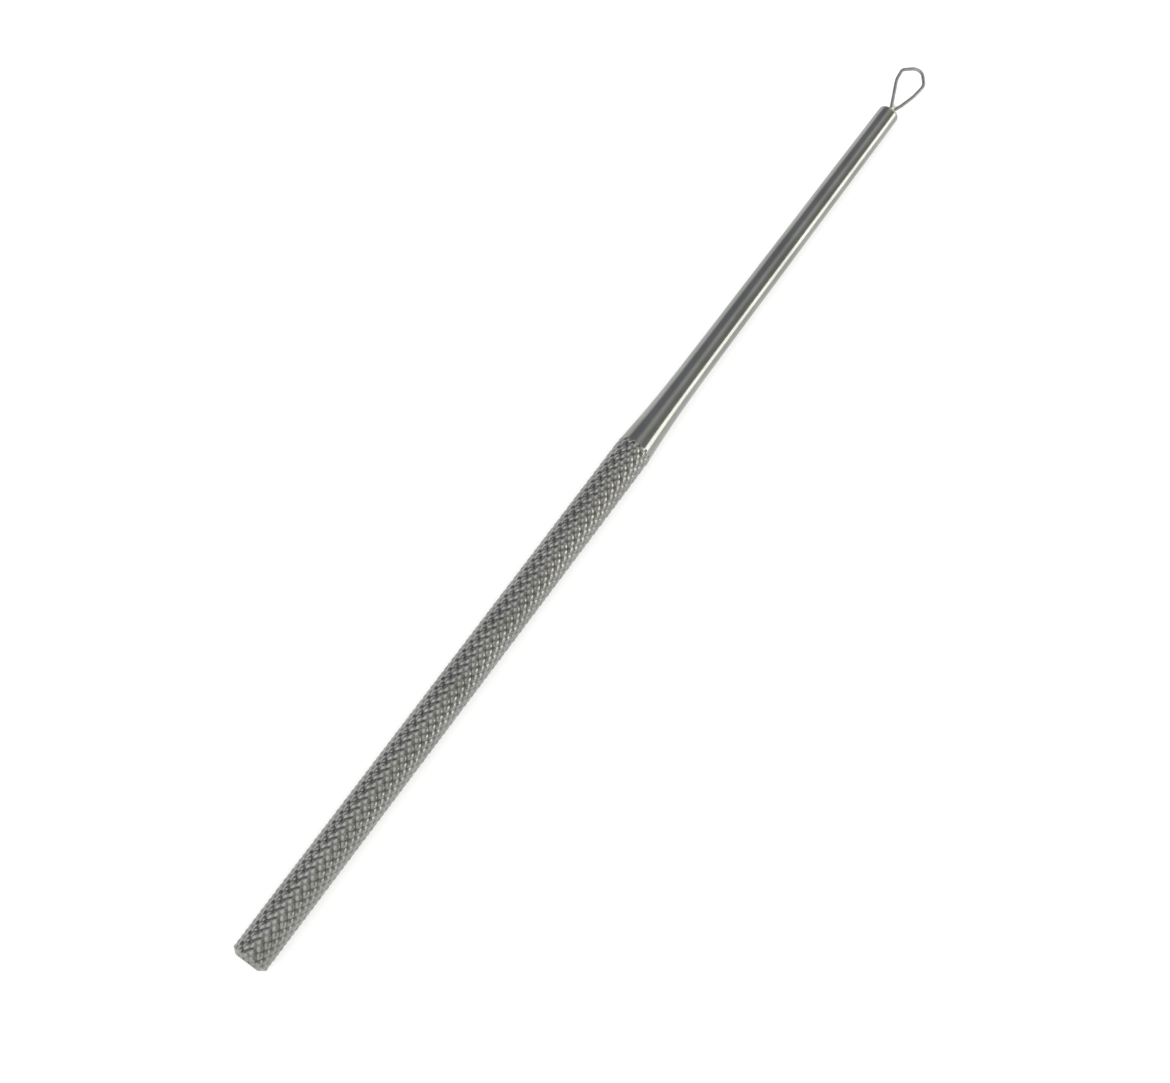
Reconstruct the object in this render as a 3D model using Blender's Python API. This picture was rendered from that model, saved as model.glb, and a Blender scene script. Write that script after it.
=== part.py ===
"""Wire-loop hand tool, lying level on its knurled handle with the loop to +X.

Three pieces of instrument steel work. A round bar is knurled over the handle and turned down to a
long tapered shank with a blind bore in its tip. A spring wire is bent into a flat loop, and its two
legs go side by side down the bore. Braze fills the bore round the legs and stands as a small fillet
at its mouth.

Metres, +Z up. Each piece is made about its own X axis, with x = 0 at the butt face. The empty
tool_axis carries them all and stands the tool on the plane z = 0, centred along its length.
"""
import math

import bmesh
import bpy

MM = 0.001

# Bar: knurled handle
HANDLE_LENGTH = 85.1 * MM          # butt face to the shoulder where the knurl stops
HANDLE_DIAMETER = 5.2 * MM         # over the points of the knurl
BUTT_FACE_DIAMETER = 3.5 * MM      # flat left on the end inside the chamfer
BUTT_CHAMFER_LENGTH = 0.60 * MM    # along the axis
SHOULDER_CHAMFER_LENGTH = 0.40 * MM
KNURL_STARTS = 14                  # grooves of each hand round the bar
KNURL_PITCH = 1.545 * MM           # from one diamond to the next along the axis
KNURL_DEPTH = 0.16 * MM            # point to groove

# Bar: turned shank
SHANK_LENGTH = 65.95 * MM          # shoulder to the face of the tip
SHANK_RELIEF = 0.02 * MM           # how far the shank starts below the bottom of the grooves
TAPER_ROOT_DIAMETER = 3.93 * MM    # the long taper, carried back to the shoulder
TAPER_TIP_DIAMETER = 3.13 * MM     # the same taper at the tip
FLARE_DECAY = 6.2 * MM             # length in which the flare falls to 1/e of its height
FLARE_POWER = 1.35                 # above 1 the flare leaves the shoulder level, then dips
TIP_ROUNDING = 0.45 * MM           # radius on the rim of the tip
TIP_LAND = 0.05 * MM               # least flat left round the mouth of the bore

# Loop: one wire, bent flat. Along is from the face of the tip, out is from the tool's axis,
# both to the corner that the bend rounds off.
WIRE_DIAMETER = 0.50 * MM
LEG_GAP = 0.04 * MM                # between the two legs inside the bore
LEG_DEPTH = 5.0 * MM               # from the mouth of the bore to the wire's ends
LEFT_RUNOUT = 0.60 * MM            # straight wire between the braze and the leg's first bend
RIGHT_RUNOUT = 0.16 * MM
FIRST_BEND_RADIUS = 0.9 * MM
LEFT_BOW_ALONG = 5.51 * MM         # slight bow in the left leg
LEFT_BOW_OUT = 2.18 * MM
LEFT_SHOULDER_ALONG = 7.42 * MM    # sharp bend where the left leg ends
LEFT_SHOULDER_OUT = 2.375 * MM
NOSE_ALONG = 9.31 * MM             # blunt front of the loop
NOSE_OUT = 0.15 * MM               # to the left of the axis
RIGHT_SHOULDER_ALONG = 6.89 * MM   # the gentle bend opposite
RIGHT_SHOULDER_OUT = 1.75 * MM
RIGHT_BOW_ALONG = 4.42 * MM
RIGHT_BOW_OUT = 1.48 * MM
RIGHT_KNEE_ALONG = 2.05 * MM       # the right leg spreads faster at first
RIGHT_KNEE_OUT = 0.86 * MM
LEFT_SHOULDER_RADIUS = 0.75 * MM
RIGHT_SHOULDER_RADIUS = 1.62 * MM
NOSE_BEND_RADIUS = 1.46 * MM
BOW_RADIUS = 4.0 * MM
KNEE_RADIUS = 2.5 * MM
ARC_STEP = math.radians(12)

# Braze round the legs
BRAZE_WALL = 0.10 * MM             # thinnest braze between a leg and the bore
FILLET_HEIGHT = 0.36 * MM          # how far the braze stands out of the bore
FILLET_FOOT = 0.05 * MM            # how far its foot laps over the rim of the bore
FILLET_CREST_WALL = 0.05 * MM      # braze left round the legs at the top of the fillet
SEAT_GAP = 0.02 * MM               # between braze and steel all round
BORE_END_GAP = 0.30 * MM           # bore bottom to the ends of wire and braze

# Facets
TIP_ROUNDING_STEPS = 5
TAPER_STATIONS = 7
FLARE_STATIONS = 9
FLARE_SPAN = 3                     # flare stations cover this many decay lengths
FLARE_CROWDING = 1.5               # above 1 they crowd towards the shoulder
BRAZE_SIDES = 24
FILLET_STEPS = 4
WIRE_BEVEL_RESOLUTION = 4
DRILL_POINT_ANGLE = math.radians(59)    # half the angle of a drill's point
SPARE_ROW_COUNT = 2                # rows of points past each end of the handle
TURNED_SIDES = 32                  # facets round the turned surfaces
BAR_SHARP_ANGLE = math.radians(28)
BRAZE_SHARP_ANGLE = math.radians(40)

# Finish: colour, roughness
BAR_FINISH = ((0.30, 0.30, 0.28, 1.0), 0.32)
WIRE_FINISH = ((0.28, 0.28, 0.27, 1.0), 0.30)
BRAZE_FINISH = ((0.66, 0.64, 0.50, 1.0), 0.38)

# Sizes that follow from the ones above
CREST_RADIUS = HANDLE_DIAMETER / 2
KNURL_COLUMNS = 2 * KNURL_STARTS   # points of one row and the crossings between them
AXIS_HEIGHT = CREST_RADIUS * math.cos(math.pi / KNURL_COLUMNS)    # lying on two columns of points
GROOVE_RADIUS = CREST_RADIUS - KNURL_DEPTH
SHANK_START_RADIUS = GROOVE_RADIUS - SHANK_RELIEF
BAR_LENGTH = HANDLE_LENGTH + SHANK_LENGTH
LEG_OFFSET = (WIRE_DIAMETER + LEG_GAP) / 2
PASSAGE_RADIUS = WIRE_DIAMETER / 2 + SEAT_GAP
BRAZE_RADIUS = LEG_OFFSET + PASSAGE_RADIUS + BRAZE_WALL
BORE_RADIUS = BRAZE_RADIUS + SEAT_GAP
BORE_DEPTH = LEG_DEPTH + BORE_END_GAP


def remove_everything():
    for item in list(bpy.data.objects):
        bpy.data.objects.remove(item, do_unlink=True)


def metal(name, finish):
    """Principled metal from a (colour, roughness) pair."""
    colour, roughness = finish
    material = bpy.data.materials.new(name)
    material.use_nodes = True
    shader = material.node_tree.nodes["Principled BSDF"]
    shader.inputs["Base Color"].default_value = colour
    shader.inputs["Metallic"].default_value = 1.0
    shader.inputs["Roughness"].default_value = roughness
    return material


def place(name, data, axis_empty, material):
    """Object made of a mesh or a curve, with its one material, carried by the tool's axis."""
    data.materials.append(material)
    item = bpy.data.objects.new(name, data)
    bpy.context.collection.objects.link(item)
    item.parent = axis_empty
    return item


def mesh_from(bm, name):
    bmesh.ops.recalc_face_normals(bm, faces=bm.faces)
    mesh = bpy.data.meshes.new(name)
    bm.to_mesh(mesh)
    bm.free()
    return mesh


def spaced_angles(count):
    """Even angles round the X axis, with the bottom halfway between two of them."""
    return [-math.pi / 2 + 2 * math.pi * (i + 0.5) / count for i in range(count)]


def ring(bm, along, radius_at, angles):
    """One loop of vertices square to the X axis; radius_at gives the radius at an angle."""
    return [
        bm.verts.new((along, radius_at(a) * math.cos(a), radius_at(a) * math.sin(a)))
        for a in angles
    ]


def bridge(bm, first, second):
    """Quads between two rings with the same count."""
    count = len(first)
    for i in range(count):
        j = (i + 1) % count
        bm.faces.new((first[i], first[j], second[j], second[i]))


# The bar

def taper_radius(beyond_shoulder):
    """Radius of the shank: a long straight taper, with a flare that dies away from the shoulder."""
    share = beyond_shoulder / SHANK_LENGTH
    taper = (TAPER_ROOT_DIAMETER + (TAPER_TIP_DIAMETER - TAPER_ROOT_DIAMETER) * share) / 2
    flare = SHANK_START_RADIUS - TAPER_ROOT_DIAMETER / 2
    return taper + flare * math.exp(-(beyond_shoulder / FLARE_DECAY) ** FLARE_POWER)


def bar_outline():
    """Turned outline as (along, radius), from the butt's centre round to the bottom of the bore.

    Over the handle it stands clear of the knurl's points, and only its two chamfers cut them.
    """
    clear_radius = CREST_RADIUS + KNURL_DEPTH
    butt_radius = BUTT_FACE_DIAMETER / 2
    butt_slope = (CREST_RADIUS - butt_radius) / BUTT_CHAMFER_LENGTH
    shoulder_slope = (CREST_RADIUS - SHANK_START_RADIUS) / SHOULDER_CHAMFER_LENGTH
    outline = [
        (0.0, 0.0),
        (0.0, butt_radius),
        ((clear_radius - butt_radius) / butt_slope, clear_radius),
        (HANDLE_LENGTH - (clear_radius - SHANK_START_RADIUS) / shoulder_slope, clear_radius),
        (HANDLE_LENGTH, SHANK_START_RADIUS),
    ]
    flare_end = min(FLARE_SPAN * FLARE_DECAY, SHANK_LENGTH / 2)
    for step in range(1, FLARE_STATIONS + 1):
        beyond = flare_end * (step / FLARE_STATIONS) ** FLARE_CROWDING
        outline.append((HANDLE_LENGTH + beyond, taper_radius(beyond)))

    rounding = min(TIP_ROUNDING, taper_radius(SHANK_LENGTH) - BORE_RADIUS - TIP_LAND)
    taper_end = SHANK_LENGTH - rounding
    for step in range(1, TAPER_STATIONS):
        beyond = flare_end + (taper_end - flare_end) * step / TAPER_STATIONS
        outline.append((HANDLE_LENGTH + beyond, taper_radius(beyond)))
    rim_radius = taper_radius(taper_end)
    for step in range(TIP_ROUNDING_STEPS + 1):
        turn = math.pi / 2 * step / TIP_ROUNDING_STEPS
        outline.append((
            HANDLE_LENGTH + taper_end + rounding * math.sin(turn),
            rim_radius - rounding + rounding * math.cos(turn),
        ))

    drill_point = BORE_RADIUS / math.tan(DRILL_POINT_ANGLE)
    outline += [
        (BAR_LENGTH, BORE_RADIUS),
        (BAR_LENGTH - BORE_DEPTH, BORE_RADIUS),
        (BAR_LENGTH - BORE_DEPTH - drill_point, 0.0),
    ]
    return outline


def turned_blank(angles):
    """The bar as turned, before knurling: the outline swept round the X axis."""
    bm = bmesh.new()
    outline = bar_outline()
    start = bm.verts.new((outline[0][0], 0.0, 0.0))
    end = bm.verts.new((outline[-1][0], 0.0, 0.0))
    rings = [ring(bm, along, lambda a, r=radius: r, angles) for along, radius in outline[1:-1]]
    for first, second in zip(rings, rings[1:]):
        bridge(bm, first, second)
    count = len(angles)
    for i in range(count):
        bm.faces.new((start, rings[0][(i + 1) % count], rings[0][i]))
        bm.faces.new((end, rings[-1][i], rings[-1][(i + 1) % count]))
    return mesh_from(bm, "turned_blank")


def knurled_stock(angles):
    """Stock covered in four-sided points, longer than the handle, then plain past the shoulder.

    Rows lie half a pitch apart. Round a row, points and groove crossings take turns, and the next
    row is shifted by one, so that grooves of both hands run through the crossings.
    """
    bm = bmesh.new()
    half_pitch = KNURL_PITCH / 2
    columns = len(angles)
    first_row = -SPARE_ROW_COUNT
    last_row = math.ceil(HANDLE_LENGTH / half_pitch) + SPARE_ROW_COUNT
    rows = []
    for row in range(first_row, last_row + 1):
        verts = []
        for column, a in enumerate(angles):
            radius = CREST_RADIUS if (row + column) % 2 == 0 else GROOVE_RADIUS
            verts.append(bm.verts.new((row * half_pitch, radius * math.cos(a), radius * math.sin(a))))
        rows.append(verts)
    for index, (first, second) in enumerate(zip(rows, rows[1:])):
        row = first_row + index
        for i in range(columns):
            j = (i + 1) % columns
            if (row + i) % 2 == 0:
                # the points are first[i] and second[j]: the groove joins the other two
                bm.faces.new((first[i], first[j], second[i]))
                bm.faces.new((first[j], second[j], second[i]))
            else:
                bm.faces.new((first[i], first[j], second[j]))
                bm.faces.new((first[i], second[j], second[i]))
    plain_start = ring(bm, last_row * half_pitch + half_pitch, lambda a: CREST_RADIUS, angles)
    plain_end = ring(bm, BAR_LENGTH + KNURL_PITCH, lambda a: CREST_RADIUS, angles)
    bridge(bm, rows[-1], plain_start)
    bridge(bm, plain_start, plain_end)
    bm.faces.new(rows[0])
    bm.faces.new(plain_end)
    bmesh.ops.triangulate(bm, faces=[face for face in bm.faces if len(face.verts) > 3])
    return mesh_from(bm, "knurled_stock")


def make_bar(axis_empty):
    """Handle and shank in one: the turned blank keeps only what the knurled stock also fills."""
    # two columns of the knurl share the bottom, as they do on a bar that has come to rest
    knurl_angles = spaced_angles(KNURL_COLUMNS)
    # the blank has another count of sides, so that its edges cross the knurl's and never follow them
    blank_angles = spaced_angles(TURNED_SIDES)
    bar = place("handle_shank", turned_blank(blank_angles), axis_empty, metal("bar_steel", BAR_FINISH))
    stock = place("knurled_stock", knurled_stock(knurl_angles), axis_empty, metal("stock", BAR_FINISH))
    stock.hide_render = True
    stock.display_type = "WIRE"
    cut = bar.modifiers.new("knurl", "BOOLEAN")
    cut.operation = "INTERSECT"
    cut.solver = "EXACT"
    cut.object = stock
    bar.data.shade_smooth()
    bar.data.set_sharp_from_angle(angle=BAR_SHARP_ANGLE)
    return bar


# The wire loop

def rounded_route(corners):
    """Points along straight runs joined by arcs; a corner is (x, y, bend radius).

    An arc takes at most half of the shorter run beside it.
    """
    points = [corners[0][:2]]
    for before, corner, after in zip(corners, corners[1:], corners[2:]):
        x, y, radius = corner
        into = math.atan2(y - before[1], x - before[0])
        out = math.atan2(after[1] - y, after[0] - x)
        turn = (out - into + math.pi) % (2 * math.pi) - math.pi
        side = math.copysign(1.0, turn)
        shorter_run = min(math.dist(before[:2], (x, y)), math.dist(after[:2], (x, y)))
        tangent = min(radius * math.tan(abs(turn) / 2), shorter_run / 2)
        radius = tangent / math.tan(abs(turn) / 2)
        start_x = x - tangent * math.cos(into)
        start_y = y - tangent * math.sin(into)
        centre_x = start_x - side * radius * math.sin(into)
        centre_y = start_y + side * radius * math.cos(into)
        steps = max(2, math.ceil(abs(turn) / ARC_STEP))
        for step in range(steps + 1):
            heading = into + turn * step / steps
            points.append((
                centre_x + side * radius * math.sin(heading),
                centre_y - side * radius * math.cos(heading),
            ))
    points.append(corners[-1][:2])
    return points


def loop_route():
    """Centre line of the wire in the loop's plane, with x = 0 at the tip of the shank."""
    corners = [
        (-LEG_DEPTH, LEG_OFFSET, 0.0),
        (FILLET_HEIGHT + LEFT_RUNOUT, LEG_OFFSET, FIRST_BEND_RADIUS),
        (LEFT_BOW_ALONG, LEFT_BOW_OUT, BOW_RADIUS),
        (LEFT_SHOULDER_ALONG, LEFT_SHOULDER_OUT, LEFT_SHOULDER_RADIUS),
        (NOSE_ALONG, NOSE_OUT, NOSE_BEND_RADIUS),
        (RIGHT_SHOULDER_ALONG, -RIGHT_SHOULDER_OUT, RIGHT_SHOULDER_RADIUS),
        (RIGHT_BOW_ALONG, -RIGHT_BOW_OUT, BOW_RADIUS),
        (RIGHT_KNEE_ALONG, -RIGHT_KNEE_OUT, KNEE_RADIUS),
        (FILLET_HEIGHT + RIGHT_RUNOUT, -LEG_OFFSET, FIRST_BEND_RADIUS),
        (-LEG_DEPTH, -LEG_OFFSET, 0.0),
    ]
    return rounded_route(corners)


def make_loop(axis_empty):
    """Round wire along the route, with its ends capped."""
    points = loop_route()
    curve = bpy.data.curves.new("wire_loop", "CURVE")
    curve.dimensions = "3D"
    curve.twist_mode = "Z_UP"
    curve.bevel_depth = WIRE_DIAMETER / 2
    curve.bevel_resolution = WIRE_BEVEL_RESOLUTION
    curve.use_fill_caps = True
    spline = curve.splines.new("POLY")
    spline.points.add(len(points) - 1)
    for point, (x, y) in zip(spline.points, points):
        point.co = (BAR_LENGTH + x, y, 0.0, 1.0)
    spline.use_smooth = True
    return place("wire_loop", curve, axis_empty, metal("wire_steel", WIRE_FINISH))


# The braze

def stadium_radius(end_radius):
    """Distance from the axis, at an angle, to the outline round both legs at end_radius from them."""
    def radius_at(angle):
        across = abs(math.cos(angle))
        height = abs(math.sin(angle))
        corner = math.atan2(end_radius, LEG_OFFSET)
        if math.atan2(height, across) > corner:
            return end_radius / height
        reach = LEG_OFFSET * across
        return reach + math.sqrt(reach * reach - LEG_OFFSET ** 2 + end_radius ** 2)
    return radius_at


def make_braze(axis_empty):
    """Plug in the bore with a passage for both legs, and a hollow-sided fillet on its mouth."""
    bm = bmesh.new()
    angles = [2 * math.pi * i / BRAZE_SIDES for i in range(BRAZE_SIDES)]
    passage = stadium_radius(PASSAGE_RADIUS)
    crest = stadium_radius(PASSAGE_RADIUS + FILLET_CREST_WALL)
    foot_radius = BORE_RADIUS + FILLET_FOOT

    rings = [
        ring(bm, BAR_LENGTH - LEG_DEPTH, lambda a: BRAZE_RADIUS, angles),
        ring(bm, BAR_LENGTH + SEAT_GAP, lambda a: BRAZE_RADIUS, angles),
    ]
    for step in range(FILLET_STEPS + 1):
        turn = math.pi / 2 * step / FILLET_STEPS
        rise = SEAT_GAP + (FILLET_HEIGHT - SEAT_GAP) * (1 - math.cos(turn))
        share = math.sin(turn)

        def fillet_radius(a, share=share):
            return foot_radius + (crest(a) - foot_radius) * share

        rings.append(ring(bm, BAR_LENGTH + rise, fillet_radius, angles))
    rings.append(ring(bm, BAR_LENGTH + FILLET_HEIGHT, passage, angles))
    rings.append(ring(bm, BAR_LENGTH - LEG_DEPTH, passage, angles))
    for first, second in zip(rings, rings[1:] + rings[:1]):
        bridge(bm, first, second)
    mesh = mesh_from(bm, "braze_fillet")
    mesh.shade_smooth()
    mesh.set_sharp_from_angle(angle=BRAZE_SHARP_ANGLE)
    return place("braze_fillet", mesh, axis_empty, metal("braze", BRAZE_FINISH))


def main():
    remove_everything()
    loop_reach = max(x for x, y in loop_route()) + WIRE_DIAMETER / 2
    axis_empty = bpy.data.objects.new("tool_axis", None)
    bpy.context.collection.objects.link(axis_empty)
    axis_empty.location = (-(BAR_LENGTH + loop_reach) / 2, 0.0, AXIS_HEIGHT)
    make_bar(axis_empty)
    make_loop(axis_empty)
    make_braze(axis_empty)


main()
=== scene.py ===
"""Looks of the wire-loop hand tool: knurled handle, turned shank, bent wire and its braze.

Metres, in the frame's own axes: X along the tool towards the loop, Z up, the tool lying on z = 0.
"""

import math

import bmesh
import bpy
import numpy as np
from mathutils import Matrix, Vector


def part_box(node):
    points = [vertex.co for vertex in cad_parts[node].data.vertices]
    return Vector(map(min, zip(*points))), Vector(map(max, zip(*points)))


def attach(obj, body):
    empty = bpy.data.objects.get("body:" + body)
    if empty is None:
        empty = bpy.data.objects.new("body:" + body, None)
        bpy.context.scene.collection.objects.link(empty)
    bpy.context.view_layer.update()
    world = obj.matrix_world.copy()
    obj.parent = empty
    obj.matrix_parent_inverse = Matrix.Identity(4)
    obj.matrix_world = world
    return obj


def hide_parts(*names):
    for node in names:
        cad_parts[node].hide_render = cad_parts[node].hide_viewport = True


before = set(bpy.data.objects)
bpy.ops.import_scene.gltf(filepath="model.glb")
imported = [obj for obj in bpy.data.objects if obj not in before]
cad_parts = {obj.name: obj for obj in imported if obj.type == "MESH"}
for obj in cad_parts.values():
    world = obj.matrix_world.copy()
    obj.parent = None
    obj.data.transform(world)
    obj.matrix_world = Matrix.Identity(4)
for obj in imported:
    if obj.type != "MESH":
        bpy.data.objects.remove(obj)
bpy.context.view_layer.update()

MM = 0.001

# Photograph's frame and the camera that took it
IMAGE_WIDTH = 1170
FOCAL_PIXELS = 1900
SENSOR_WIDTH = 36.0                 # millimetres, as Blender takes it
CAMERA_TARGET = Vector((-9.873 * MM, -2.150 * MM, 2.4 * MM))
CAMERA_DISTANCE = 256.45 * MM
CAMERA_ELEVATION = math.radians(69.487)
CAMERA_HEADING = math.radians(35.161)
CAMERA_NEAR_LIMIT = 0.01
CAMERA_FAR_LIMIT = 20

# Knurl: the same lattice as the solid's, with rounded points and grooves
KNURL_STARTS = 14
KNURL_PITCH = 1.545 * MM            # between the points of one column
KNURL_DEPTH = 0.15 * MM             # from a point down to a crossing of two grooves
KNURL_SADDLE = 0.22                 # height of a groove halfway between crossings, as a share of the depth
KNURL_ROUNDING = 0.08               # softness of the points' edges, as a share of the depth
POINT_LEAN = 0.9                    # angle from the bottom to a point's lowest place, in half columns
SOILED_SHADED_UP_TO = 0.10                 # height, as a share of the depth, up to which the knurl is soiled and painted with shade
CLEAN_UNSHADED_FROM = 0.36                   # and from which it is clean and has no painted shade
BUTT_KNURL_SHARE = 0.25             # of the knurl's depth that is left at the butt face
COLUMNS = 2 * KNURL_STARTS
ROW_LENGTH = KNURL_PITCH / 2
CELL_STEPS = 8                      # mesh steps across one cell of the lattice
BAR_SIDES = COLUMNS * CELL_STEPS

# Turned shape
HANDLE_LENGTH = 85.1 * MM
BUTT_FACE_RADIUS = 1.75 * MM
BUTT_CHAMFER_LENGTH = 0.60 * MM
SHOULDER_CHAMFER_LENGTH = 0.40 * MM
SHANK_RELIEF = 0.10 * MM            # of the shank's root below the points of the knurl
TAPER_ROOT_RADIUS = 1.965 * MM      # at the shoulder, if there were no flare
TAPER_TIP_RADIUS = 1.565 * MM
FLARE_DECAY = 6.2 * MM              # distance over which the flare falls to 1/e of its height
FLARE_POWER = 1.35                  # over 1 lets the flare start level at the shoulder
FLARE_REACH = 5 * FLARE_DECAY       # nothing of the flare is left beyond it
BORE_RADIUS = 0.66 * MM
BORE_DEPTH = 5.3 * MM
DRILL_POINT_DEPTH = 0.4 * MM        # of the cone at the bottom of the bore
TIP_ROUNDING = 0.45 * MM
SMALL_ROUNDING = 0.05 * MM          # broken edges of the butt face and the bore's mouth
EDGE_MIDDLE = 0.3                   # how deep a rounding's middle lies below both faces, as a share of it

# Rings of the bar's mesh
FACE_RING_SHARES = (0.25, 0.5, 0.75, 0.9, 1.0)
CHAMFER_RINGS = 10                  # spare ones in each chamfer of the handle
LEAST_STEP = 0.12                   # between the handle's rings, as a share of their usual step
FLARE_RINGS = 40
FLARE_CROWDING = 1.6                # over 1 sets the flare's rings closer at the shoulder
TAPER_RINGS = 30
TIP_RINGS = 12
STATION_DECIMALS = 9                # a nanometre, so that stations which fall together count once

# Wire
WIRE_RADIUS = 0.246 * MM
WIRE_SIDES = 20
LEG_OFFSET = 0.27 * MM
LEG_DEPTH = 4.95 * MM
LOOP_CORNERS = (                    # millimetres: along from the tip, out from the axis, bend radius
    (0.96, 0.27, 0.9),
    (5.51, 2.18, 4.0),
    (7.42, 2.375, 0.75),
    (9.31, 0.15, 1.46),
    (6.89, -1.75, 1.62),
    (4.42, -1.48, 4.0),
    (2.05, -0.86, 2.5),
    (0.52, -0.27, 0.9),
)
ARC_STEP = math.radians(4)

# Braze: a plug in the bore, a hollow-sided bead on its mouth and a web in the fork of the wire
PLUG_RADIUS = 0.655 * MM
BEAD_FOOT_RADIUS = 0.92 * MM
BEAD_HEIGHT = 0.55 * MM
BEAD_COVER = 0.06 * MM              # left over the wire at the top of the bead
WEB_HEIGHT = 1.45 * MM              # at the middle of the fork
WEB_CREEP = 0.28 * MM               # how much further it runs up along the wires
WEB_EDGE = 0.05 * MM                # half thickness of the web's edge
WEB_HOLLOWNESS = 1.5                # over 1 thins the web faster near the bead
BEAD_SIDES = 48
BEAD_RINGS = 26
BEAD_CROWDING = 1.3                 # over 1 sets the bead's rings closer at its foot

# Edges that turn by more than this stay sharp
BAR_SHARP_ANGLE = math.radians(40)
WIRE_SHARP_ANGLE = math.radians(50)
BEAD_SHARP_ANGLE = math.radians(60)

# Finishes: the darker and the lighter tone, or the least and the most roughness
CLEAN_STEEL = ((0.265, 0.268, 0.253, 1), (0.318, 0.321, 0.307, 1))
# tones of the knurl's grooves: soil and painted shade, darker than the clean steel
SOILED_SHADED_STEEL = ((0.125, 0.121, 0.112, 1), (0.195, 0.190, 0.177, 1))
DRAWN_STEEL = ((0.260, 0.260, 0.250, 1), (0.330, 0.330, 0.320, 1))
PALE_BRAZE = ((0.70, 0.66, 0.52, 1), (0.83, 0.80, 0.67, 1))
TURNED_ROUGHNESS = (0.13, 0.20)
KNURLED_ROUGHNESS = (0.22, 0.34)
WIRE_ROUGHNESS = (0.26, 0.40)
BRAZE_ROUGHNESS = (0.28, 0.48)
CLOUD_RANGE = (0.35, 0.65)          # of the noise values that lie between two tones
SPOT_RANGE = (0.3, 0.7)             # the same for small spots and for roughness
EVEN = (1, 1, 1)                    # scale of a noise along X, Y and Z
TURNING_MARKS = (9000, 60, 60)      # fine along the bar and coarse round it

# Table and lamp
TABLE_REACH = 3.0
TABLE_COLOUR = (0.62, 0.62, 0.62, 1)
TABLE_ROUGHNESS = 0.9
TABLE_GLOW = 0.545                  # to the camera and in gloss, which brings the lit table to white
LAMP_AZIMUTH = math.radians(-58)    # from +X towards +Y
LAMP_ELEVATION = math.radians(13)
LAMP_DISTANCE = 0.9
LAMP_FACE_WIDTH = 0.44
LAMP_FACE_HEIGHT = 0.38
LAMP_RADIANCE = 3.0                 # 1 shows as white
LAMP_COLOUR = (1.0, 0.985, 0.93)

# Sky, where 1 is white
HORIZON_WHITE = (1, 1, 1, 1)
CEILING_OVER_HANDLE = (1.46, 1.44, 1.42, 1)
CEILING_OVER_SHANK = (0.74, 0.735, 0.72, 1)
END_BEYOND_BUTT = (1.50, 1.49, 1.46, 1)
END_BEYOND_LOOP = (1.60, 1.59, 1.56, 1)
LAMP_SIDE_OF_HANDLE = (0.53, 0.52, 0.50, 1)
LAMP_SIDE_OF_SHANK = (0.38, 0.374, 0.36, 1)
FAR_SIDE_OF_HANDLE = (0.21, 0.205, 0.27, 1)
FAR_SIDE_OF_NECK = (0.08, 0.084, 0.105, 1)
FAR_SIDE_OF_SHANK = (0.34, 0.355, 0.39, 1)

# Where a part of the sky begins and is complete, by the X, Y or Z of a direction of length 1
X_BEYOND_BUTT = (-0.18, -0.45)
X_BEYOND_LOOP = (0.60, 0.78)
X_OVER_SHANK = (0.17, 0.31)
X_BESIDE_NECK = (0.06, 0.18)
X_BESIDE_SHANK = (0.25, 0.34)
X_FORWARD = (0.0, 0.30)
Y_LAMP_SIDE = (-0.05, -0.45)
Y_FAR_SIDE = (0.50, 0.80)
FAR_SIDE_RISE = 0.45                # by which Y_FAR_SIDE comes in earlier towards the loop's end
Y_LOW_HORIZON = (-1.0, -1.3)
LOW_HORIZON_LEAN = -0.75            # which leaves the low horizon to directions towards the loop's end
Z_ABOVE_HORIZON = (0.23, 0.30)
HORIZON_DROP = 0.21                 # by which the white is lower where the horizon is low


# Frame of the tool, from the solids

bar_low, bar_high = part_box("handle_shank")
BUTT_X = bar_low.x
TIP_X = bar_high.x
AXIS_Z = (bar_low.z + bar_high.z) / 2
REST_RADIUS = (bar_high.z - bar_low.z) / 2
# the rounded points lean a little towards the bottom, and must not reach below those of the solid
CREST_RADIUS = REST_RADIUS / math.cos(POINT_LEAN * math.pi / COLUMNS)
SHANK_LENGTH = TIP_X - BUTT_X - HANDLE_LENGTH
SHANK_START_RADIUS = CREST_RADIUS - SHANK_RELIEF


# Material nodes

def new_material(name):
    material = bpy.data.materials.new(name)
    material.use_nodes = True
    tree = material.node_tree
    shader = tree.nodes["Principled BSDF"]
    return material, tree, shader


def new_metal(name):
    material, tree, shader = new_material(name)
    shader.inputs["Metallic"].default_value = 1.0
    return material, tree, shader


def node(tree, kind, **settings):
    made = tree.nodes.new(kind)
    for key, value in settings.items():
        if key in made.inputs:
            made.inputs[key].default_value = value
        else:
            setattr(made, key, value)
    return made


def attribute(tree, name):
    return node(tree, "ShaderNodeAttribute", attribute_name=name).outputs["Fac"]


def scaled_coordinates(tree, scale):
    """Object coordinates in metres, multiplied by a scale for each axis."""
    coordinates = node(tree, "ShaderNodeTexCoord")
    mapping = node(tree, "ShaderNodeMapping")
    mapping.inputs["Scale"].default_value = scale
    tree.links.new(coordinates.outputs["Object"], mapping.inputs["Vector"])
    return mapping.outputs["Vector"]


def noise(tree, vector, scale, detail=3.0, roughness=0.5):
    made = node(tree, "ShaderNodeTexNoise", Scale=scale, Detail=detail, Roughness=roughness)
    tree.links.new(vector, made.inputs["Vector"])
    return made.outputs["Fac"]


def remap(tree, value, before, after=(0, 1)):
    """Carry a value from one range to the other. It stops at the ends of the second one."""
    made = node(tree, "ShaderNodeMapRange")
    made.inputs["From Min"].default_value = before[0]
    made.inputs["From Max"].default_value = before[1]
    made.inputs["To Min"].default_value = after[0]
    made.inputs["To Max"].default_value = after[1]
    tree.links.new(value, made.inputs["Value"])
    return made.outputs["Result"]


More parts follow.
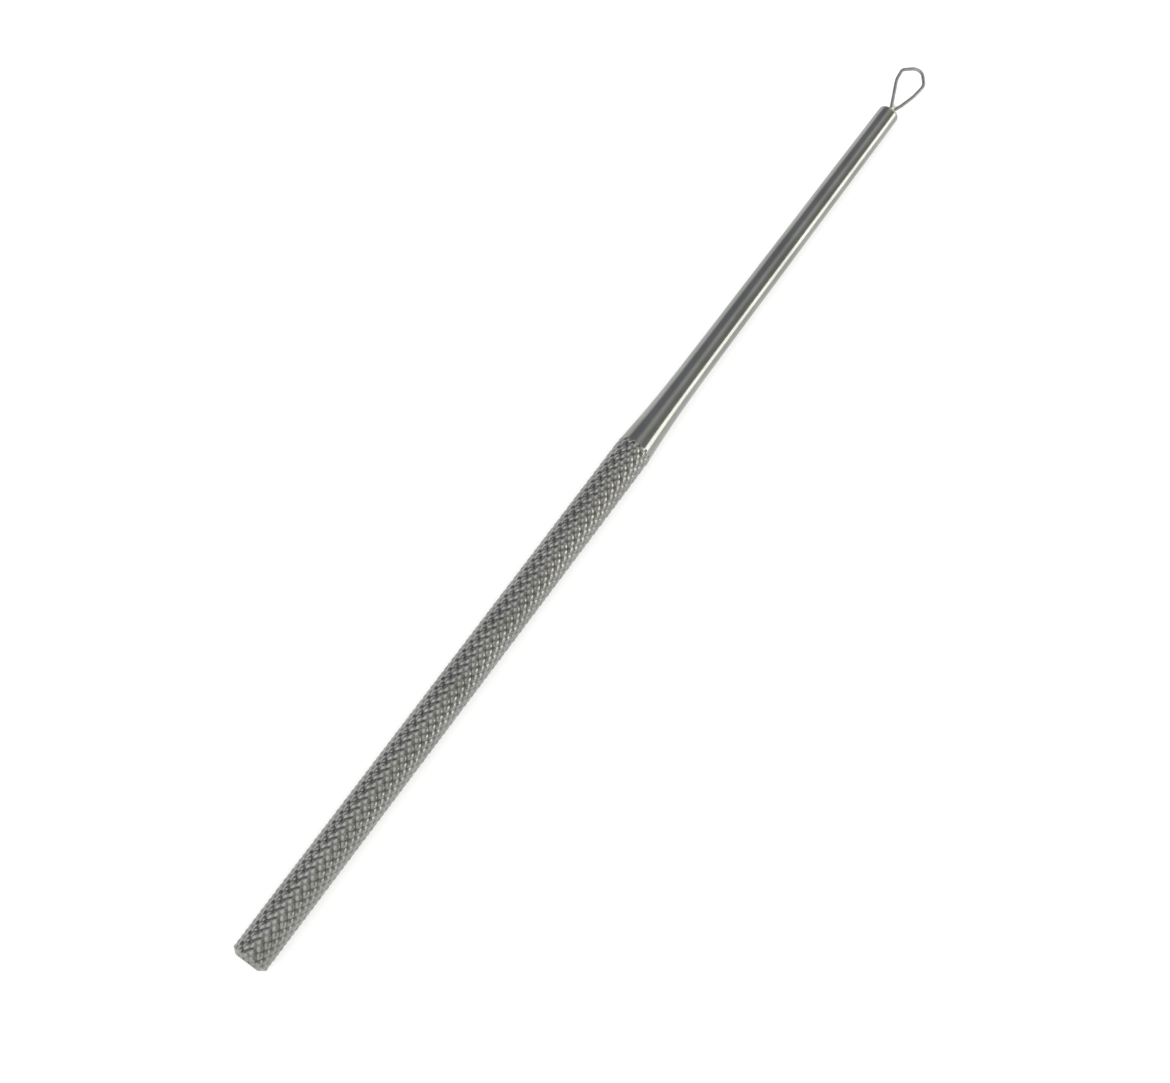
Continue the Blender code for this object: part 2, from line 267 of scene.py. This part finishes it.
def blend_colours(tree, factor, first, second):
    made = node(tree, "ShaderNodeMix", data_type="RGBA")
    for socket, value in ((made.inputs[6], first), (made.inputs[7], second)):
        if isinstance(value, tuple):
            socket.default_value = value
        else:
            tree.links.new(value, socket)
    tree.links.new(factor, made.inputs[0])
    return made.outputs[2]


def blend_values(tree, factor, first, second):
    made = node(tree, "ShaderNodeMix", data_type="FLOAT")
    tree.links.new(factor, made.inputs[0])
    tree.links.new(first, made.inputs[2])
    tree.links.new(second, made.inputs[3])
    return made.outputs[0]


def add(tree, first, second):
    made = node(tree, "ShaderNodeMath", operation="ADD")
    tree.links.new(first, made.inputs[0])
    tree.links.new(second, made.inputs[1])
    return made.outputs[0]


def multiply(tree, value, factor):
    made = node(tree, "ShaderNodeMath", operation="MULTIPLY")
    tree.links.new(value, made.inputs[0])
    made.inputs[1].default_value = factor
    return made.outputs[0]


def multiply_add(tree, value, factor, addend):
    made = node(tree, "ShaderNodeMath", operation="MULTIPLY_ADD")
    tree.links.new(value, made.inputs[0])
    made.inputs[1].default_value = factor
    tree.links.new(addend, made.inputs[2])
    return made.outputs[0]


def bump(tree, shader, height, strength, distance):
    made = node(tree, "ShaderNodeBump")
    made.inputs["Strength"].default_value = strength
    made.inputs["Distance"].default_value = distance
    tree.links.new(height, made.inputs["Height"])
    tree.links.new(made.outputs["Normal"], shader.inputs["Normal"])


# Materials. The scale of a noise is in lumps per metre.

def bar_steel():
    """Stainless bar: knurl darkened in its grooves by soil and painted shade, with brighter points, and a
    smoothly turned shank.
    """
    material, tree, shader = new_metal("bar_steel")
    even = scaled_coordinates(tree, EVEN)

    cloud = noise(tree, even, scale=180, detail=4.0)
    clean = blend_colours(tree, remap(tree, cloud, CLOUD_RANGE), *CLEAN_STEEL)
    # the grooves' darker tone, set by the crest attribute, is soil and painted shade; the noise only varies
    # it
    grime_and_shade = noise(tree, even, scale=2200, roughness=0.6)
    soiled_shaded = blend_colours(tree, remap(tree, grime_and_shade, SPOT_RANGE), *SOILED_SHADED_STEEL)
    colour = blend_colours(tree, attribute(tree, "crest"), soiled_shaded, clean)
    tree.links.new(colour, shader.inputs["Base Color"])

    wear = noise(tree, even, scale=900, detail=4.0, roughness=0.6)
    on_shank = remap(tree, wear, SPOT_RANGE, TURNED_ROUGHNESS)
    on_knurl = remap(tree, wear, SPOT_RANGE, KNURLED_ROUGHNESS)
    roughness = blend_values(tree, attribute(tree, "knurled"), on_shank, on_knurl)
    tree.links.new(roughness, shader.inputs["Roughness"])

    marks = noise(tree, scaled_coordinates(tree, TURNING_MARKS), scale=1.0, detail=2.0)
    grain = noise(tree, even, scale=14000, detail=2.0)
    bump(tree, shader, add(tree, marks, grain), strength=0.25, distance=0.01 * MM)
    return material


def wire_steel():
    """Drawn spring wire: a fine dull grain and slightly mottled gloss."""
    material, tree, shader = new_metal("wire_steel")
    even = scaled_coordinates(tree, EVEN)
    cloud = noise(tree, even, scale=700)
    colour = blend_colours(tree, remap(tree, cloud, CLOUD_RANGE), *DRAWN_STEEL)
    tree.links.new(colour, shader.inputs["Base Color"])
    roughness = remap(tree, noise(tree, even, scale=2500), SPOT_RANGE, WIRE_ROUGHNESS)
    tree.links.new(roughness, shader.inputs["Roughness"])
    bump(tree, shader, noise(tree, even, scale=9000), strength=0.2, distance=0.01 * MM)
    return material


def braze_metal():
    """Pale silver braze, a little yellow, with a frosted flow surface."""
    material, tree, shader = new_metal("braze")
    even = scaled_coordinates(tree, EVEN)
    cloud = noise(tree, even, scale=1800, detail=4.0)
    colour = blend_colours(tree, remap(tree, cloud, CLOUD_RANGE), *PALE_BRAZE)
    tree.links.new(colour, shader.inputs["Base Color"])
    roughness = remap(tree, noise(tree, even, scale=5000), SPOT_RANGE, BRAZE_ROUGHNESS)
    tree.links.new(roughness, shader.inputs["Roughness"])
    bump(tree, shader, noise(tree, even, scale=7000, detail=4.0), strength=0.35, distance=0.02 * MM)
    return material


# Mesh helpers

def add_piece(name, mesh, material, replaced):
    """Put a piece in the scene in place of one solid."""
    mesh.materials.append(material)
    piece = bpy.data.objects.new(name, mesh)
    bpy.context.scene.collection.objects.link(piece)
    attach(piece, "root")
    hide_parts(replaced)


def smooth_mesh(bm, mesh, sharp_angle):
    """Write bm into the mesh with its faces outwards, smooth but for the sharp edges."""
    bmesh.ops.recalc_face_normals(bm, faces=bm.faces)
    bm.to_mesh(mesh)
    bm.free()
    mesh.shade_smooth()
    mesh.set_sharp_from_angle(angle=sharp_angle)


def join_rings(bm, rings):
    """Faces between each ring of vertices and the next one."""
    for near, far in zip(rings, rings[1:]):
        for side in range(len(near)):
            after = (side + 1) % len(near)
            bm.faces.new((near[side], near[after], far[after], far[side]))


def smooth_step(value):
    share = min(1.0, max(0.0, value))
    return share * share * (3 - 2 * share)


# Bar

def taper_radius(beyond_shoulder):
    share = beyond_shoulder / SHANK_LENGTH
    taper = TAPER_ROOT_RADIUS + (TAPER_TIP_RADIUS - TAPER_ROOT_RADIUS) * share
    flare = SHANK_START_RADIUS - TAPER_ROOT_RADIUS
    return taper + flare * math.exp(-(beyond_shoulder / FLARE_DECAY) ** FLARE_POWER)


def eased(share):
    """A straight slope from 0 to 1 with its two ends a little rounded."""
    return (share + smooth_step(share)) / 2


def knurl_height(row, column):
    """0 where two grooves cross to 1 on a point, at a place given in rows and columns of the lattice.

    Two rolls press the grooves of the two hands, so a crossing lies deeper than the grooves between.
    """
    first = eased(abs((row + column) % 2 - 1))
    second = eased(abs((row - column) % 2 - 1))
    gap = math.sqrt((first - second) ** 2 + KNURL_ROUNDING ** 2) - KNURL_ROUNDING
    lower = (first + second - gap) / 2
    pressed_twice = 2 * KNURL_SADDLE
    return (1 - pressed_twice) * lower + pressed_twice * (first + second) / 2


def butt_drop(along):
    """How far the butt's chamfer lies below the points of the knurl."""
    return max(0.0, (CREST_RADIUS - BUTT_FACE_RADIUS) * (1 - along / BUTT_CHAMFER_LENGTH))


def shoulder_limit(along):
    """Radius that the chamfer at the shoulder leaves over the handle."""
    left = HANDLE_LENGTH - along
    return SHANK_START_RADIUS + (CREST_RADIUS - SHANK_START_RADIUS) * left / SHOULDER_CHAMFER_LENGTH


def handle_stations():
    """Places along the handle for the mesh's rings, with spare ones in the chamfers."""
    step = ROW_LENGTH / CELL_STEPS
    stations = [i * step for i in range(math.floor(HANDLE_LENGTH / step) + 1)]
    for i in range(CHAMFER_RINGS):
        stations.append(BUTT_CHAMFER_LENGTH * i / CHAMFER_RINGS)
        stations.append(HANDLE_LENGTH - SHOULDER_CHAMFER_LENGTH * i / CHAMFER_RINGS)
    ordered = sorted({round(station, STATION_DECIMALS) for station in stations})
    kept = [ordered[0]]
    for station in ordered[1:-1]:
        if station - kept[-1] > step * LEAST_STEP:
            kept.append(station)
    kept.append(ordered[-1])
    return kept


def knurled_ring(along):
    """One ring over the handle. The grooves run on over the butt's chamfer and grow shallow there."""
    row = along / ROW_LENGTH
    chamfer_share = min(1.0, along / BUTT_CHAMFER_LENGTH)
    depth = KNURL_DEPTH * (BUTT_KNURL_SHARE + (1 - BUTT_KNURL_SHARE) * chamfer_share)
    outer = CREST_RADIUS - butt_drop(along)
    limit = shoulder_limit(along)
    radii = []
    crests = []
    for side in range(BAR_SIDES):
        height = knurl_height(row, side / CELL_STEPS)
        knurled = outer - depth * (1 - height)
        radii.append(min(knurled, limit))
        # share of clean steel: 1 on the points, 0 down in the grooves, which get soil and painted shade
        clean_unshaded = smooth_step((height - SOILED_SHADED_UP_TO) / (CLEAN_UNSHADED_FROM - SOILED_SHADED_UP_TO))
        crests.append(1.0 if limit < knurled else clean_unshaded)
    return (BUTT_X + along, radii, crests, 1.0)


def plain_ring(along, radius):
    """One ring over a turned surface, which is clean all round and has no painted shade."""
    return (BUTT_X + along, [radius] * BAR_SIDES, [1.0] * BAR_SIDES, 0.0)


def handle_rings():
    """Rings from the middle of the butt face to the shoulder."""
    face_edge = BUTT_FACE_RADIUS - KNURL_DEPTH * BUTT_KNURL_SHARE - SMALL_ROUNDING
    rings = [plain_ring(0.0, share * face_edge) for share in FACE_RING_SHARES]
    rings += [knurled_ring(along) for along in handle_stations()]
    return rings


def shank_rings():
    """Rings down the flare and the taper, and round the edge of the tip."""
    taper_end = SHANK_LENGTH - TIP_ROUNDING
    stations = [FLARE_REACH * (i / FLARE_RINGS) ** FLARE_CROWDING for i in range(1, FLARE_RINGS + 1)]
    stations += [FLARE_REACH + (taper_end - FLARE_REACH) * i / TAPER_RINGS for i in range(1, TAPER_RINGS)]
    rings = [plain_ring(HANDLE_LENGTH + beyond, taper_radius(beyond)) for beyond in stations]
    rim = taper_radius(taper_end)
    for i in range(TIP_RINGS + 1):
        turn = math.pi / 2 * i / TIP_RINGS
        rings.append(plain_ring(
            HANDLE_LENGTH + taper_end + TIP_ROUNDING * math.sin(turn),
            rim - TIP_ROUNDING + TIP_ROUNDING * math.cos(turn)))
    return rings


def bore_rings():
    """Rings over the broken edge of the bore's mouth and down to its bottom."""
    tip = HANDLE_LENGTH + SHANK_LENGTH
    middle = EDGE_MIDDLE * SMALL_ROUNDING
    return [
        plain_ring(tip, BORE_RADIUS + SMALL_ROUNDING),
        plain_ring(tip - middle, BORE_RADIUS + middle),
        plain_ring(tip - SMALL_ROUNDING, BORE_RADIUS),
        plain_ring(tip - BORE_DEPTH, BORE_RADIUS),
    ]


def bar_faces(ring_count):
    """Faces between the rings and in a fan at each end, where the last two vertices are the middles."""
    butt_middle = ring_count * BAR_SIDES
    drill_point = butt_middle + 1
    last_ring = butt_middle - BAR_SIDES
    faces = []
    for near in range(0, last_ring, BAR_SIDES):
        far = near + BAR_SIDES
        for side in range(BAR_SIDES):
            after = (side + 1) % BAR_SIDES
            faces.append((near + side, near + after, far + after, far + side))
    for side in range(BAR_SIDES):
        after = (side + 1) % BAR_SIDES
        faces.append((butt_middle, after, side))
        faces.append((drill_point, last_ring + side, last_ring + after))
    return faces


def bar_mesh(name, rings):
    """Mesh through rings of (x, radii, crests, knurled). The last two become attributes for the finish; the
    crest share is low in the knurl's grooves, where soil and painted shade darken it.
    """
    # a column of points lies half a column from the bottom
    angles = -math.pi / 2 + math.pi / COLUMNS + 2 * math.pi * np.arange(BAR_SIDES) / BAR_SIDES
    total = len(rings) * BAR_SIDES + 2
    places = np.empty((total, 3))
    shares = {"crest": np.ones(total), "knurled": np.zeros(total)}
    for index, (x, radii, crests, knurled) in enumerate(rings):
        span = slice(index * BAR_SIDES, (index + 1) * BAR_SIDES)
        places[span, 0] = x
        places[span, 1] = np.cos(angles) * radii
        places[span, 2] = AXIS_Z + np.sin(angles) * radii
        shares["crest"][span] = crests
        shares["knurled"][span] = knurled
    places[-2] = (BUTT_X, 0, AXIS_Z)
    places[-1] = (TIP_X - BORE_DEPTH - DRILL_POINT_DEPTH, 0, AXIS_Z)

    mesh = bpy.data.meshes.new(name)
    mesh.from_pydata(places.tolist(), [], bar_faces(len(rings)))
    for attribute_name, values in shares.items():
        made = mesh.attributes.new(attribute_name, "FLOAT", "POINT")
        made.data.foreach_set("value", values.astype(np.float32))
    mesh.validate()
    bm = bmesh.new()
    bm.from_mesh(mesh)
    smooth_mesh(bm, mesh, BAR_SHARP_ANGLE)
    return mesh


def make_bar():
    mesh = bar_mesh("knurled_bar", handle_rings() + shank_rings() + bore_rings())
    add_piece("knurled_bar", mesh, bar_steel(), "handle_shank")


# Wire

def rounded_route(corners):
    """Points along straight runs joined by arcs. An arc takes at most half of the shorter run beside it."""
    points = [corners[0][:2]]
    for before, corner, after in zip(corners, corners[1:], corners[2:]):
        x, y, radius = corner
        into = math.atan2(y - before[1], x - before[0])
        out = math.atan2(after[1] - y, after[0] - x)
        turn = (out - into + math.pi) % (2 * math.pi) - math.pi
        side = math.copysign(1.0, turn)
        shorter_run = min(math.dist(before[:2], (x, y)), math.dist(after[:2], (x, y)))
        tangent = min(radius * math.tan(abs(turn) / 2), shorter_run / 2)
        radius = tangent / math.tan(abs(turn) / 2)
        start_x = x - tangent * math.cos(into)
        start_y = y - tangent * math.sin(into)
        centre_x = start_x - side * radius * math.sin(into)
        centre_y = start_y + side * radius * math.cos(into)
        steps = max(2, math.ceil(abs(turn) / ARC_STEP))
        for step in range(steps + 1):
            heading = into + turn * step / steps
            points.append((centre_x + side * radius * math.sin(heading),
                           centre_y - side * radius * math.cos(heading)))
    points.append(corners[-1][:2])
    return points


def wire_route():
    """Centre line of the wire in metres, with x = 0 at the tip of the shank."""
    corners = [(x * MM, y * MM, radius * MM) for x, y, radius in LOOP_CORNERS]
    corners.insert(0, (-LEG_DEPTH, LEG_OFFSET, 0.0))
    corners.append((-LEG_DEPTH, -LEG_OFFSET, 0.0))
    return rounded_route(corners)


def wire_ring(bm, route, index):
    """Ring of the wire round one point of its route, square to the line between the points beside it."""
    before = Vector(route[max(0, index - 1)])
    after = Vector(route[min(len(route) - 1, index + 1)])
    along = (after - before).normalized()
    across = Vector((-along.y, along.x, 0.0))
    ring = []
    for side in range(WIRE_SIDES):
        angle = 2 * math.pi * side / WIRE_SIDES
        out = across * (WIRE_RADIUS * math.cos(angle))
        up = Vector((0, 0, WIRE_RADIUS * math.sin(angle)))
        ring.append(bm.verts.new(Vector(route[index]) + out + up))
    return ring


def make_wire():
    """Round wire along its route in a level plane, with closed ends."""
    route = [(TIP_X + x, y, AXIS_Z) for x, y in wire_route()]
    bm = bmesh.new()
    rings = [wire_ring(bm, route, index) for index in range(len(route))]
    join_rings(bm, rings)
    bm.faces.new(rings[0])
    bm.faces.new(list(reversed(rings[-1])))
    mesh = bpy.data.meshes.new("loop_wire")
    smooth_mesh(bm, mesh, WIRE_SHARP_ANGLE)
    add_piece("loop_wire", mesh, wire_steel(), "wire_loop")


# Braze

def leg_places(along):
    """Where the centres of the left and the right leg are, at a distance from the shank's tip."""
    route = np.array(wire_route())
    nose = int(route[:, 0].argmax())
    left, right = route[:nose], route[nose:][::-1]
    return (float(np.interp(along, left[:, 0], left[:, 1])),
            float(np.interp(along, right[:, 0], right[:, 1])))


def bead_section(along):
    """(middle, half width, half thickness, creep) of the braze, square to the axis at a place on it."""
    left, right = leg_places(along)
    middle, half_span = (left + right) / 2, (left - right) / 2
    cover = WIRE_RADIUS + BEAD_COVER
    if along <= BEAD_HEIGHT:
        left_to_rise = 1 - along / BEAD_HEIGHT
        hollow = 1 - math.sqrt(1 - left_to_rise ** 2)
        width = half_span + cover + (BEAD_FOOT_RADIUS - half_span - cover) * hollow
        return middle, width, cover + (BEAD_FOOT_RADIUS - cover) * hollow, 0.0
    share = (along - BEAD_HEIGHT) / (WEB_HEIGHT - BEAD_HEIGHT)
    thinning = (1 - share) ** WEB_HOLLOWNESS
    thickness = WEB_EDGE + (cover - WEB_EDGE) * thinning
    return middle, half_span + cover * thinning, thickness, WEB_CREEP * share


def bead_ring(bm, along, section):
    middle, half_width, half_thickness, creep = section
    ring = []
    for side in range(BEAD_SIDES):
        angle = 2 * math.pi * side / BEAD_SIDES
        across = math.cos(angle)
        ring.append(bm.verts.new((TIP_X + along + creep * across * across,
                                  middle + half_width * across,
                                  AXIS_Z + half_thickness * math.sin(angle))))
    return ring


def close_ring(bm, ring):
    """Close an end by faces between the vertices of the ring's upper half and those below them."""
    half = len(ring) // 2
    bm.faces.new((ring[0], ring[1], ring[-1]))
    bm.faces.new((ring[half - 1], ring[half], ring[half + 1]))
    for side in range(1, half - 1):
        bm.faces.new((ring[side], ring[side + 1], ring[-side - 1], ring[-side]))


def make_bead():
    """Braze plug, bead and web in one closed body."""
    bm = bmesh.new()
    rings = [bead_ring(bm, along, (0.0, PLUG_RADIUS, PLUG_RADIUS, 0.0)) for along in (-LEG_DEPTH, 0.0)]
    for i in range(BEAD_RINGS):
        along = WEB_HEIGHT * (i / (BEAD_RINGS - 1)) ** BEAD_CROWDING
        rings.append(bead_ring(bm, along, bead_section(along)))
    join_rings(bm, rings)
    close_ring(bm, rings[0])
    close_ring(bm, rings[-1])
    mesh = bpy.data.meshes.new("braze_bead")
    smooth_mesh(bm, mesh, BEAD_SHARP_ANGLE)
    add_piece("braze_bead", mesh, braze_metal(), "braze_fillet")


# Studio

def make_table():
    """White table. It shows as white to the camera and in gloss, and keeps the tool's shadow."""
    bm = bmesh.new()
    bmesh.ops.create_grid(bm, x_segments=1, y_segments=1, size=TABLE_REACH)
    mesh = bpy.data.meshes.new("floor")
    bm.to_mesh(mesh)
    bm.free()
    table = bpy.data.objects.new("floor", mesh)
    bpy.context.scene.collection.objects.link(table)

    material, tree, shader = new_material("white_table")
    mesh.materials.append(material)
    shader.inputs["Base Color"].default_value = TABLE_COLOUR
    shader.inputs["Roughness"].default_value = TABLE_ROUGHNESS
    shader.inputs["Specular IOR Level"].default_value = 0.0
    path = node(tree, "ShaderNodeLightPath")
    seen = add(tree, path.outputs["Is Camera Ray"], path.outputs["Is Glossy Ray"])
    seen = add(tree, seen, path.outputs["Is Transmission Ray"])
    glow = node(tree, "ShaderNodeEmission")
    tree.links.new(multiply(tree, seen, TABLE_GLOW), glow.inputs["Strength"])
    total = node(tree, "ShaderNodeAddShader")
    tree.links.new(shader.outputs[0], total.inputs[0])
    tree.links.new(glow.outputs[0], total.inputs[1])
    tree.links.new(total.outputs[0], tree.nodes["Material Output"].inputs["Surface"])


def side_colours(tree, x):
    """Colours of the sky on the lamp's side and on the far side, which change along the tool."""
    beside_neck = remap(tree, x, X_BESIDE_NECK)
    beside_shank = remap(tree, x, X_BESIDE_SHANK)
    lamp_side = blend_colours(tree, beside_neck, LAMP_SIDE_OF_HANDLE, LAMP_SIDE_OF_SHANK)
    far_side = blend_colours(tree, beside_neck, FAR_SIDE_OF_HANDLE, FAR_SIDE_OF_NECK)
    far_side = blend_colours(tree, beside_shank, far_side, FAR_SIDE_OF_SHANK)
    return lamp_side, far_side


def sky_colour(tree, direction):
    """White at the horizon and beyond both ends of the tool, a pale ceiling and grey sides.

    The side away from the lamp is darker and a little cooler. Towards the loop's end its dark reaches
    higher, and the white at the horizon on the lamp's side is lower.
    """
    split = node(tree, "ShaderNodeSeparateXYZ")
    tree.links.new(direction, split.inputs[0])
    x, y, z = (split.outputs[axis] for axis in "XYZ")
    forward = remap(tree, x, X_FORWARD)
    on_far_side = remap(tree, multiply_add(tree, forward, FAR_SIDE_RISE, y), Y_FAR_SIDE)
    low_horizon = remap(tree, multiply_add(tree, forward, LOW_HORIZON_LEAN, y), Y_LOW_HORIZON)
    above_horizon = remap(tree, multiply_add(tree, low_horizon, HORIZON_DROP, z), Z_ABOVE_HORIZON)

    lamp_side, far_side = side_colours(tree, x)
    sky = blend_colours(tree, remap(tree, x, X_OVER_SHANK), CEILING_OVER_HANDLE, CEILING_OVER_SHANK)
    sky = blend_colours(tree, remap(tree, y, Y_LAMP_SIDE), sky, lamp_side)
    sky = blend_colours(tree, remap(tree, x, X_BEYOND_BUTT), sky, END_BEYOND_BUTT)
    sky = blend_colours(tree, remap(tree, x, X_BEYOND_LOOP), sky, END_BEYOND_LOOP)
    sky = blend_colours(tree, on_far_side, sky, far_side)
    return blend_colours(tree, above_horizon, HORIZON_WHITE, sky)


def make_sky():
    world = bpy.data.worlds.new("studio")
    bpy.context.scene.world = world
    world.use_nodes = True
    tree = world.node_tree
    direction = node(tree, "ShaderNodeTexCoord").outputs["Generated"]
    tree.links.new(sky_colour(tree, direction), tree.nodes["Background"].inputs["Color"])


def make_lamp():
    """Soft area lamp low beside the tool, aimed at its middle."""
    data = bpy.data.lights.new("key", "AREA")
    data.shape = "RECTANGLE"
    data.size = LAMP_FACE_WIDTH
    data.size_y = LAMP_FACE_HEIGHT
    data.energy = LAMP_RADIANCE * math.pi * LAMP_FACE_WIDTH * LAMP_FACE_HEIGHT
    data.color = LAMP_COLOUR
    lamp = bpy.data.objects.new("key", data)
    level = math.cos(LAMP_ELEVATION)
    towards = Vector((math.cos(LAMP_AZIMUTH) * level, math.sin(LAMP_AZIMUTH) * level,
                      math.sin(LAMP_ELEVATION)))
    lamp.location = towards * LAMP_DISTANCE
    lamp.rotation_mode = "QUATERNION"
    lamp.rotation_quaternion = towards.to_track_quat("Z", "Y")
    bpy.context.scene.collection.objects.link(lamp)


def make_camera():
    data = bpy.data.cameras.new("camera")
    data.sensor_width = SENSOR_WIDTH
    data.lens = SENSOR_WIDTH * FOCAL_PIXELS / IMAGE_WIDTH
    data.clip_start = CAMERA_NEAR_LIMIT
    data.clip_end = CAMERA_FAR_LIMIT
    camera = bpy.data.objects.new("camera", data)
    bpy.context.scene.collection.objects.link(camera)
    flat = Vector((math.cos(CAMERA_HEADING), math.sin(CAMERA_HEADING), 0))
    forward = flat * math.cos(CAMERA_ELEVATION) - Vector((0, 0, math.sin(CAMERA_ELEVATION)))
    right = forward.cross(Vector((0, 0, 1))).normalized()
    up = right.cross(forward)
    turn = Matrix((right, up, -forward)).transposed().to_4x4()
    camera.matrix_world = Matrix.Translation(CAMERA_TARGET - forward * CAMERA_DISTANCE) @ turn
    bpy.context.scene.camera = camera


def make_studio():
    bpy.context.scene.view_settings.view_transform = "Standard"
    make_table()
    make_sky()
    make_lamp()


def main():
    make_camera()
    make_bar()
    make_wire()
    make_bead()
    make_studio()
    bpy.context.view_layer.update()


main()
